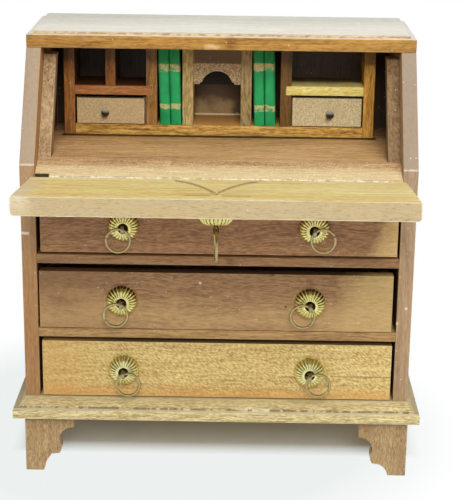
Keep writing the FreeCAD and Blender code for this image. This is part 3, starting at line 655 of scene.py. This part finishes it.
def mergeFlat(piece, setup):  # edit mode, with the triangles of each flat face made one
    solo(piece)
    selectBy("EDGE")
    mode("EDIT")
    bpy.ops.mesh.select_all(action="SELECT")
    bpy.ops.mesh.remove_doubles(threshold=setup["merge"])
    bpy.ops.mesh.dissolve_limited(angle_limit=setup["flat"])
    bpy.ops.mesh.select_all(action="DESELECT")


def cutLongEdges(piece, long, cuts):  # leaves the piece in edit mode
    mode("EDIT")
    selectBy("EDGE")
    bpy.ops.mesh.select_all(action="DESELECT")
    mode("OBJECT")
    for edge in piece.data.edges:
        first, second = (piece.data.vertices[index].co for index in edge.vertices)
        edge.select = (first - second).length > long
    mode("EDIT")
    bpy.ops.mesh.subdivide(number_cuts=cuts)


def useModifier(piece, kind, **settings):
    solo(piece)
    modifier = piece.modifiers.new(kind.lower(), kind)
    for name, value in settings.items():
        setattr(modifier, name, value)
    bpy.ops.object.modifier_apply(modifier=modifier.name)


def cadCopy(node):
    piece = bpy.data.objects.new(camel(node), frame["nodes"][node].data.copy())
    bpy.context.scene.collection.objects.link(piece)
    solo(piece)
    return piece


def copyTo(piece, name, place):
    twin = bpy.data.objects.new(name, piece.data.copy())
    twin.data.transform(place)
    bpy.context.scene.collection.objects.link(twin)
    return twin


def joinAll(pieces):
    solo(pieces[0])
    for piece in pieces[1:]:
        piece.select_set(True)
    bpy.ops.object.join()
    return pieces[0]


def settle(piece, node, material, sharp=smoothUpTo):
    solo(piece)
    bpy.ops.object.transform_apply(location=True, rotation=True, scale=True)
    bpy.ops.object.shade_smooth_by_angle(angle=sharp)
    piece.data.materials.clear()
    piece.data.materials.append(material)
    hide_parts(node)
    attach(piece, bodyOf[node])


# wooden boards: copies of the CAD solids with their arrises eased

boardSetup = {"merge": 0.002 * mm, "flat": math.radians(0.5), "sharp": math.radians(30), "longEdge": 1.2 * mm,
              "ease": 0.14 * mm, "segments": 2}
boardWoods = {
    "left_gable": "leftGableWood", "right_gable": "rightGableWood", "top_board": "topWood",
    "back_panel": "backWood", "writing_board": "writingWood", "upper_drawer_divider": "upperDividerWood",
    "lower_drawer_divider": "lowerDividerWood", "plinth_board": "plinthWood",
    "left_slope_strip": "leftStripWood", "right_slope_strip": "rightStripWood", "fall_board": "fallWood",
    "upper_drawer_front": "upperFrontWood", "middle_drawer_front": "middleFrontWood",
    "lower_drawer_front": "honeyWood", "left_end_upright": "redWood", "letter_divider": "redWood",
    "left_shelf": "redShelfWood", "left_inner_upright": "leftInnerWood",
    "left_centre_upright": "leftGreyWood", "right_centre_upright": "rightGreyWood",
    "right_inner_upright": "innerWood", "arch_valance": "valanceWood", "pigeonhole_base": "baseWood",
    "right_shelf": "yellowWood", "right_end_upright": "endWood", "left_small_drawer_front": "smallFrontWood",
    "right_small_drawer_front": "paleFrontWood", "left_small_drawer_tray": "liningWood",
    "right_small_drawer_tray": "liningWood",
}
for drawer in drawerNames:
    boardWoods[drawer + "_drawer_bottom"] = "liningWood"


def easeEdges(piece, setup):
    mergeFlat(piece, setup)
    bpy.ops.mesh.edges_select_sharp(sharpness=setup["sharp"])
    mode("OBJECT")
    spots = [vertex.co for vertex in piece.data.vertices]
    weights = piece.data.attributes.new("bevel_weight_edge", "FLOAT", "EDGE")
    for edge in piece.data.edges:
        first, second = edge.vertices
        long = (spots[first] - spots[second]).length > setup["longEdge"]
        weights.data[edge.index].value = 1.0 if edge.select and long else 0.0
    useModifier(piece, "BEVEL", width=setup["ease"], segments=setup["segments"], limit_method="WEIGHT",
                use_clamp_overlap=False)


smallFrontFit = {"edges": {"ease": 0.28 * mm, "longEdge": 0.5 * mm},
                 "aside": {"left": 0.15 * mm, "right": 0.1 * mm},  # how far each stands clear of its opening
                 "above": {"left": 0.33 * mm, "right": 0.14 * mm}}


def fitSmallFront(piece, side, fit):
    low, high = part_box(side + "_small_drawer_front")
    wide, tall = high.x - low.x, high.z - low.z
    pick(piece, lambda spot: True)
    bpy.ops.transform.resize(value=(1 - 2 * fit["aside"][side] / wide, 1, 1 - fit["above"][side] / tall),
                             center_override=((low.x + high.x) / 2, 0, low.z))
    mode("OBJECT")


for node, woodName in boardWoods.items():
    board = cadCopy(node)
    if node.endswith("small_drawer_front"):
        fitSmallFront(board, node.split("_")[0], smallFrontFit)
        easeEdges(board, {**boardSetup, **smallFrontFit["edges"]})
    else:
        easeEdges(board, boardSetup)
    settle(board, node, wood[woodName])
print("boards eased,", len(boardWoods))


# feet: butted boards, eased one at a time so that the joints stay as lines

footSetup = {"stock": 2.8 * mm, "near": 0.02 * mm, "facing": 0.5}


def splitOff(piece, test):  # takes the triangles that pass the test away as a piece of their own
    mode("OBJECT")
    selectBy("FACE")
    mode("EDIT")
    bpy.ops.mesh.select_all(action="DESELECT")
    mode("OBJECT")
    for face in piece.data.polygons:
        face.select = test(face.center, face.normal)
    mode("EDIT")
    bpy.ops.mesh.separate(type="SELECTED")
    mode("OBJECT")
    return [other for other in bpy.context.selected_objects if other is not piece][0]


def makeFoot(node, setup):
    low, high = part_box(node)
    atBack = "rear" in node
    joint = high.y - setup["stock"] if atBack else low.y + setup["stock"]
    way = -1 if atBack else 1

    def onWing(centre, normal):
        past = (centre.y - joint) * way
        return past > setup["near"] or abs(past) <= setup["near"] and normal.y * way < -setup["facing"]

    face = cadCopy(node)
    wing = splitOff(face, onWing)
    for board in (face, wing):
        easeEdges(board, boardSetup)
    settle(joinAll([face, wing]), node, wood["footWood"])


for place in ("front", "rear"):
    for side in sideNames:
        makeFoot("foot_" + place + "_" + side, footSetup)
print("feet eased")


# brass caps: a fluted dome with a bore

capShape = {"radius": 3.22 * mm, "height": 2.1 * mm, "flutes": 24, "rimPress": 0.9, "domePress": 0.27 * mm,
            "rimFrom": 0.8, "rimTo": 1.1, "domeFrom": 0.42, "smooth": 2,
            "levels": ((1.0, 0.0), (1.0, 0.14), (0.985, 0.34), (0.94, 0.54), (0.86, 0.71), (0.74, 0.84),
                       (0.6, 0.93), (0.46, 0.985), (0.36, 1.0), (0.3, 0.98), (0.286, 0.9), (0.286, 0.0))}
pinStand = 2.95 * mm  # eye centre in front of the board
fallTilt = math.radians(6.9)


def makeCap(shape):
    bpy.ops.object.select_all(action="DESELECT")
    bpy.ops.mesh.primitive_circle_add(vertices=2 * shape["flutes"], radius=shape["radius"])
    cap = newPiece("cap")
    for (wide, low), (narrow, high) in zip(shape["levels"], shape["levels"][1:]):
        pull(0, 0, (high - low) * shape["height"])
        bpy.ops.transform.resize(value=(narrow / wide, narrow / wide, 1), center_override=(0, 0, 0))

    def valley(spot, low, high):
        spoke = round(math.atan2(spot.y, spot.x) / math.pi * shape["flutes"])
        return spoke % 2 == 1 and low < math.hypot(spot.x, spot.y) / shape["radius"] < high

    pick(cap, lambda spot: valley(spot, shape["rimFrom"], shape["rimTo"]))
    bpy.ops.transform.resize(value=(shape["rimPress"], shape["rimPress"], 1), center_override=(0, 0, 0))
    pick(cap, lambda spot: valley(spot, shape["domeFrom"], shape["rimFrom"]))
    bpy.ops.transform.translate(value=(0, 0, -shape["domePress"]))
    pick(cap, lambda spot: valley(spot, shape["domeFrom"], shape["rimTo"]))
    bpy.ops.transform.edge_crease(value=1)  # valleys stay sharp
    bpy.ops.mesh.select_all(action="DESELECT")
    bpy.ops.mesh.select_non_manifold()
    bpy.ops.mesh.bridge_edge_loops()
    closeShell()
    useModifier(cap, "SUBSURF", levels=shape["smooth"], render_levels=shape["smooth"])
    return cap


def capPlace(joint, turn):  # base of a cap under the eye of its pin
    stand = Matrix.Rotation(turn, 4, "X")
    base = Vector(jointOf[joint]["pos_m"]) - stand @ Vector((0, 0, pinStand))
    return Matrix.Translation(base) @ stand


capModel = makeCap(capShape)
for drawer in drawerNames:
    pair = [copyTo(capModel, drawer + side.capitalize() + "Cap",
                   capPlace(drawer + "_" + side + "_ring_swing", math.pi / 2)) for side in sideNames]
    settle(joinAll(pair), drawer + "_drawer_rosettes", metal[drawer + "Brass"])
fallCap = copyTo(capModel, "fallCap", capPlace("fall_ring_swing", math.pi - fallTilt))
settle(fallCap, "fall_rosette", metal["fallBrass"])
bpy.data.objects.remove(capModel)
print("caps fluted")


# jump rings: a wire section spun round, with a snipped gap

ringShape = {"radius": 2.3 * mm, "wire": 0.27 * mm, "sides": 12, "steps": 72, "gap": 0.2 * mm,
             "wideGap": 0.7 * mm, "part": 0.16 * mm, "partFrom": 1.1, "partReach": 1.4 * mm,
             "round": 0.05 * mm, "roundSteps": 2, "roundOver": math.radians(60),
             "gapAt": {"upper_left": 160, "upper_right": 20, "middle_left": 200, "middle_right": 300,
                       "lower_left": 180, "lower_right": 330, "fall": 240}}
fallTwist = math.radians(4)


def makeRing(name, shape, place, gap):
    bpy.ops.object.select_all(action="DESELECT")
    bpy.ops.mesh.primitive_circle_add(vertices=shape["sides"], radius=shape["wire"],
                                      location=(shape["radius"], 0, 0), rotation=(math.pi / 2, 0, 0))
    bpy.ops.object.transform_apply(location=True, rotation=True)
    ring = newPiece(name)
    sweep = 2 * math.pi - gap / shape["radius"]
    bpy.ops.mesh.spin(steps=shape["steps"], angle=sweep, center=(0, 0, 0), axis=(0, 0, 1))
    closeShell()
    turn = math.radians(shape["gapAt"][name]) + gap / shape["radius"] / 2
    start = Vector((shape["radius"], 0, 0))
    pick(ring, lambda spot: (spot - start).length < shape["partFrom"] * shape["wire"])
    bpy.ops.transform.translate(value=(0, 0, shape["part"]), use_proportional_edit=True,
                                proportional_size=shape["partReach"], use_proportional_connected=True)
    mode("OBJECT")
    ring.name = camel(name + "_ring")
    ring.data.transform(place @ Matrix.Rotation(turn, 4, "Z"))
    useModifier(ring, "BEVEL", width=shape["round"], segments=shape["roundSteps"], limit_method="ANGLE",
                angle_limit=shape["roundOver"])
    return ring


for drawer in drawerNames:
    for side in sideNames:
        name = drawer + "_" + side
        joint = jointOf[name + "_ring_swing"]
        hang = Vector((-joint["axis"][2], 0, joint["axis"][0])) * ringShape["radius"]
        upright = Matrix.Translation(Vector(joint["pos_m"]) + hang) @ Matrix.Rotation(math.pi / 2, 4, "X")
        gap = ringShape["wideGap" if name == "lower_left" else "gap"]
        settle(makeRing(name, ringShape, upright, gap), name + "_ring", metal["ringBrass"])
fallEye = Vector(jointOf["fall_ring_swing"]["pos_m"])
fallShape = {**ringShape, "radius": 2.75 * mm}
sideways = (Matrix.Translation(fallEye - Vector((0, 0, fallShape["radius"])))
            @ Matrix.Rotation(math.pi / 2 + fallTwist, 4, "Z") @ Matrix.Rotation(math.pi / 2, 4, "X"))
settle(makeRing("fall", fallShape, sideways, fallShape["gap"]), "fall_ring", metal["ringBrass"])
print("rings spun")


# split pins: the CAD wire, made round

pinShape = {"merge": 0.002 * mm, "quadTurn": math.radians(60), "quadShape": math.radians(120),
            "swell": 0.018 * mm, "eyeFrom": -7.6 * mm, "eyeReach": 2 * mm, "eyeWide": 2.1, "levels": 2,
            "sharp": math.radians(60)}
fallPinShape = {"eyeReach": 1.3 * mm, "eyeWide": 0.62, "legFrom": 63.5 * mm, "legSpan": (0.5 * mm, 7.4 * mm),
                "legSwell": 0.035 * mm, "longLeg": 5 * mm, "arch": 0.38 * mm, "cuts": 5, "slack": 0.4}


def archLegs(pin, shape):  # bows the two legs that lie on the inner face of the fall
    cutLongEdges(pin, shape["longLeg"], shape["cuts"])
    start, end = shape["legSpan"]
    step = (end - start) / (shape["cuts"] + 1)
    for cut in range(1, shape["cuts"] + 1):
        out = start + cut * step
        pick(pin, lambda spot: spot.z > shape["legFrom"] and abs(abs(spot.x) - out) < shape["slack"] * step)
        lift = shape["arch"] * math.sin(math.pi * cut / (shape["cuts"] + 1))
        bpy.ops.transform.translate(value=(0, lift * math.sin(fallTilt), lift * math.cos(fallTilt)))


def workFallPin(pin, shape):  # a pinched eye, and legs bowed and swollen
    eye = Vector(jointOf["fall_ring_swing"]["pos_m"])
    pick(pin, lambda spot: (spot - eye).length < shape["eyeReach"])
    bpy.ops.transform.resize(value=(shape["eyeWide"], 1, 1), center_override=eye)
    archLegs(pin, shape)
    pick(pin, lambda spot: spot.z > shape["legFrom"])
    bpy.ops.transform.shrink_fatten(value=shape["legSwell"])


def makePins(node, joints, material, shape):
    pins = cadCopy(node)
    mode("EDIT")
    bpy.ops.mesh.select_all(action="SELECT")
    bpy.ops.mesh.remove_doubles(threshold=shape["merge"])
    bpy.ops.mesh.tris_convert_to_quads(face_threshold=shape["quadTurn"], shape_threshold=shape["quadShape"])
    bpy.ops.transform.shrink_fatten(value=shape["swell"])
    for joint in joints:  # the flattened wire of each eye
        eye = Vector(jointOf[joint]["pos_m"])
        pick(pins, lambda spot: spot.y < shape["eyeFrom"] and abs(spot.x - eye.x) < shape["eyeReach"])
        bpy.ops.transform.resize(value=(shape["eyeWide"], 1, 1), center_override=eye)
    if not joints:  # the pin of the fall
        workFallPin(pins, fallPinShape)
    mode("OBJECT")
    useModifier(pins, "SUBSURF", levels=shape["levels"], render_levels=shape["levels"])
    settle(pins, node, material, shape["sharp"])


for drawer in drawerNames:
    swings = [drawer + "_" + side + "_ring_swing" for side in sideNames]
    makePins(drawer + "_drawer_split_pins", swings, metal["pinSteel"], pinShape)
makePins("fall_split_pin", [], metal["legSteel"], pinShape)
print("pins rounded")


# knobs: a round pin head on a collar

knobShape = {"segments": 40, "rings": 24, "seat": 0.8, "collar": 1.25, "collarHeight": 0.1 * mm,
             "ease": 0.04 * mm, "easeSteps": 2, "easeOver": math.radians(40), "sharp": math.radians(50)}


def makeKnob(side, shape):
    node = side + "_small_drawer_knob"
    low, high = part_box(node)
    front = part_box(side + "_small_drawer_front")[0].y
    radius = (high.x - low.x) / 2
    middle = Vector(((low.x + high.x) / 2, low.y + radius, (low.z + high.z) / 2))
    bpy.ops.object.select_all(action="DESELECT")
    bpy.ops.mesh.primitive_uv_sphere_add(segments=shape["segments"], ring_count=shape["rings"], radius=radius,
                                         location=middle, rotation=(math.pi / 2, 0, 0))
    bpy.ops.object.transform_apply(location=True, rotation=True)
    knob = newPiece(camel(node))
    seat = min(front - shape["collarHeight"], middle.y + radius * shape["seat"])
    bpy.ops.mesh.bisect(plane_co=(0, seat, 0), plane_no=(0, 1, 0), clear_outer=True)
    bpy.ops.mesh.select_all(action="DESELECT")
    bpy.ops.mesh.select_non_manifold()
    pull(0, 0, 0)
    bpy.ops.transform.resize(value=(shape["collar"], 1, shape["collar"]), center_override=middle)
    pull(0, front - seat, 0)
    closeShell()
    useModifier(knob, "BEVEL", width=shape["ease"], segments=shape["easeSteps"], limit_method="ANGLE",
                angle_limit=shape["easeOver"])
    settle(knob, node, metal["knobSteel"], shape["sharp"])


for side in sideNames:
    makeKnob(side, knobShape)
print("knobs turned")


# books: a rounded spine, boards that stand proud of the pages

bookShape = {"lean": math.radians(1.6), "fill": 0.985, "board": 0.2 * mm, "lip": 0.18 * mm, "near": 0.01 * mm,
             "spineLong": 5 * mm, "spineRound": 0.7 * mm, "spineSteps": 4, "ease": 0.05 * mm,
             "easeOver": math.radians(50)}


def roundSpine(book, front, shape):
    spots = book.data.vertices
    weights = book.data.attributes.new("bevel_weight_edge", "FLOAT", "EDGE")
    for edge in book.data.edges:
        first, second = (spots[index].co for index in edge.vertices)
        upright = abs(first.x - second.x) < shape["near"] and abs(first.y - second.y) < shape["near"]
        if upright and abs(first.y - front) < shape["near"] and abs(first.z - second.z) > shape["spineLong"]:
            weights.data[edge.index].value = 1.0
    useModifier(book, "BEVEL", width=shape["spineRound"], segments=shape["spineSteps"], limit_method="WEIGHT",
                use_clamp_overlap=False)
    useModifier(book, "BEVEL", width=shape["ease"], segments=1, limit_method="ANGLE",
                angle_limit=shape["easeOver"])


def makeBooks(side, shape):
    node = side + "_books"
    low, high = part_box(node)
    lean, size = shape["lean"], high - low
    cosine, sine = math.cos(lean), math.sin(lean)
    tall = (size.z * cosine - size.x * sine) / math.cos(2 * lean)
    thick = (size.x * cosine - size.z * sine) / math.cos(2 * lean) / 2
    foot = Vector((low.x + tall * sine, low.y, low.z))
    pair = []
    for place in range(2):
        middle = foot + Vector(((place + 0.5) * thick, size.y / 2, tall / 2))
        bpy.ops.object.select_all(action="DESELECT")
        bpy.ops.mesh.primitive_cube_add(size=1, location=middle, scale=(thick * shape["fill"], size.y, tall))
        bpy.ops.object.transform_apply(location=True, scale=True)
        book = newPiece(side + "Book" + str(place))
        for end in (1, -1):  # page block sunk between the boards, head and tail
            pick(book, lambda spot: (spot.z - middle.z) * end > 0)
            bpy.ops.mesh.inset(thickness=shape["board"])
            pull(0, 0, -end * shape["lip"])
        mode("OBJECT")
        roundSpine(book, low.y, shape)
        pair.append(book)
    books = joinAll(pair)
    there = Matrix.Translation(foot)
    books.data.transform(there @ Matrix.Rotation(-lean, 4, "Y") @ there.inverted())
    settle(books, node, bookCloth[side])


for side in sideNames:
    makeBooks(side, bookShape)
print("books bound")


# linen tape hinge: the CAD strips, with an uneven, hand-cut edge

tapeShape = {"merge": 0.002 * mm, "flat": math.radians(0.5), "longEdge": 20 * mm, "cuts": 150,
             "uneven": 0.05 * mm, "uniform": 0.4, "seed": 7, "sharp": math.radians(60)}


def makeTape(node, shape):
    tape = cadCopy(node)
    mergeFlat(tape, shape)
    cutLongEdges(tape, shape["longEdge"], shape["cuts"])
    bpy.ops.mesh.select_all(action="SELECT")
    bpy.ops.transform.vertex_random(offset=shape["uneven"], uniform=shape["uniform"], seed=shape["seed"])
    mode("OBJECT")
    settle(tape, node, linen, shape["sharp"])


for node in ("hinge_tape_on_fall", "hinge_tape_on_board"):
    makeTape(node, tapeShape)
print("tape cut")


# drawer boxes stay as the CAD has them

def dress(node, material):
    piece = frame["nodes"][node]
    piece.data.materials.clear()
    piece.data.materials.append(material)


for drawer in drawerNames:
    dress(drawer + "_drawer_box", wood["liningWood"])
print("drawer boxes dressed")


# floor, light and camera

floorLook = {"size": 4.0, "rough": 0.7, "near": (0.86, 0.85, 0.81, 1.0), "front": (0.84, 0.88, 0.87, 1.0),
             "shadeFront": (0.003, 0.009), "shadeSide": (0.034, 0.043), "shadeBack": (0.045, 0.10),
             "middle": (-0.012, 0.02, 0), "tintEnd": (0.045, 0.065)}


def seenRay(tree):  # what the eye and shiny things see, as against what lights the desk
    paths = addNode(tree, "LightPath").outputs
    return calc(tree, "MAXIMUM", paths["Is Camera Ray"],
                calc(tree, "MAXIMUM", paths["Is Glossy Ray"], paths["Is Transmission Ray"]))


def makeFloor(look):
    bpy.ops.object.select_all(action="DESELECT")
    bpy.ops.mesh.primitive_plane_add(size=look["size"])
    floor = bpy.context.object
    floor.name = "floor"
    material, tree, shader = newMaterial("floorPaper")
    shader.inputs["Base Color"].default_value = look["near"]
    shader.inputs["Roughness"].default_value = look["rough"]
    place = addNode(tree, "TexCoord").outputs["Object"]
    axes = addNode(tree, "SeparateXYZ", {"Vector": place}).outputs
    ahead = spread(tree, axes["Y"], *look["shadeFront"], 1.0, 0.0)
    aside = spread(tree, calc(tree, "ABSOLUTE", axes["X"]), *look["shadeSide"])
    behind = spread(tree, axes["Y"], *look["shadeBack"])
    far = calc(tree, "MAXIMUM", ahead, calc(tree, "MAXIMUM", aside, behind))
    away = addNode(tree, "VectorMath", {0: place, 1: look["middle"]}, operation="DISTANCE").outputs["Value"]
    plain = spread(tree, away, *look["tintEnd"])  # greyish near the desk, white beyond
    paper = mixColour(tree, plain, look["front"], (1, 1, 1, 1))
    white = addNode(tree, "Emission", {"Color": paper, "Strength": 1.0}).outputs["Emission"]
    blend = addNode(tree, "MixShader", {"Fac": calc(tree, "MULTIPLY", far, seenRay(tree))})
    feed(tree, blend.inputs[1], shader.outputs["BSDF"])
    feed(tree, blend.inputs[2], white)
    feed(tree, tree.nodes["Material Output"].inputs["Surface"], blend.outputs["Shader"])
    floor.data.materials.append(material)


makeFloor(floorLook)

lamps = {
    "overhead": {"place": (0.10, -0.30, 0.58), "aim": (0, 0, 0.03), "size": 0.4, "power": 2.33},
    "key": {"place": (0.035, -0.53, 0.36), "aim": (0, 0, 0.04), "size": 0.2, "power": 2.33},
}
worldLight = {"colour": (1.0, 1.0, 1.0, 1.0), "strength": 0.2, "ceiling": 0.05, "whiteBelow": 0.25,
              "darkAbove": 0.6}


def makeLamp(name, setup):
    bpy.ops.object.light_add(type="AREA", location=setup["place"])
    lamp = bpy.context.object
    lamp.name = name
    lamp.data.size = setup["size"]
    lamp.data.energy = setup["power"]
    lamp.visible_glossy = False  # the metal mirrors the room, not the lamps
    aim = Vector(setup["aim"]) - lamp.location
    lamp.rotation_euler = aim.to_track_quat("-Z", "Y").to_euler()


def makeWorld(setup):
    world = bpy.data.worlds.new("studio")
    bpy.context.scene.world = world
    world.use_nodes = True
    tree = world.node_tree
    sky = tree.nodes["Background"]
    sky.inputs["Color"].default_value = setup["colour"]
    height = heightOf(tree, addNode(tree, "TexCoord").outputs["Generated"])
    # white walls and a dim ceiling, for the metal to mirror
    walls = spread(tree, height, setup["whiteBelow"], setup["darkAbove"], 1.0, setup["ceiling"])
    feed(tree, sky.inputs["Strength"], spread(tree, seenRay(tree), 0.0, 1.0, setup["strength"], walls))


for name, setup in lamps.items():
    makeLamp(name, setup)
makeWorld(worldLight)

cameraSetup = {"place": (4.609 * mm, -283.282 * mm, 133.576 * mm), "pitch": 0.3011, "yaw": -0.00644,
               "roll": 0.01355, "lens": 108.14, "sensor": 36.0, "clip": 0.01}


def makeCamera(setup):
    bpy.ops.object.camera_add()
    camera = bpy.context.object
    camera.data.lens = setup["lens"]
    camera.data.sensor_width = setup["sensor"]
    camera.data.clip_start = setup["clip"]
    turn = (Matrix.Rotation(-setup["yaw"], 4, "Z") @ Matrix.Rotation(math.pi / 2 - setup["pitch"], 4, "X")
            @ Matrix.Rotation(setup["roll"], 4, "Z"))
    camera.matrix_world = Matrix.Translation(setup["place"]) @ turn
    bpy.context.scene.camera = camera


makeCamera(cameraSetup)
bpy.context.scene.view_settings.view_transform = "Standard"
print("floor, lamps and camera placed")
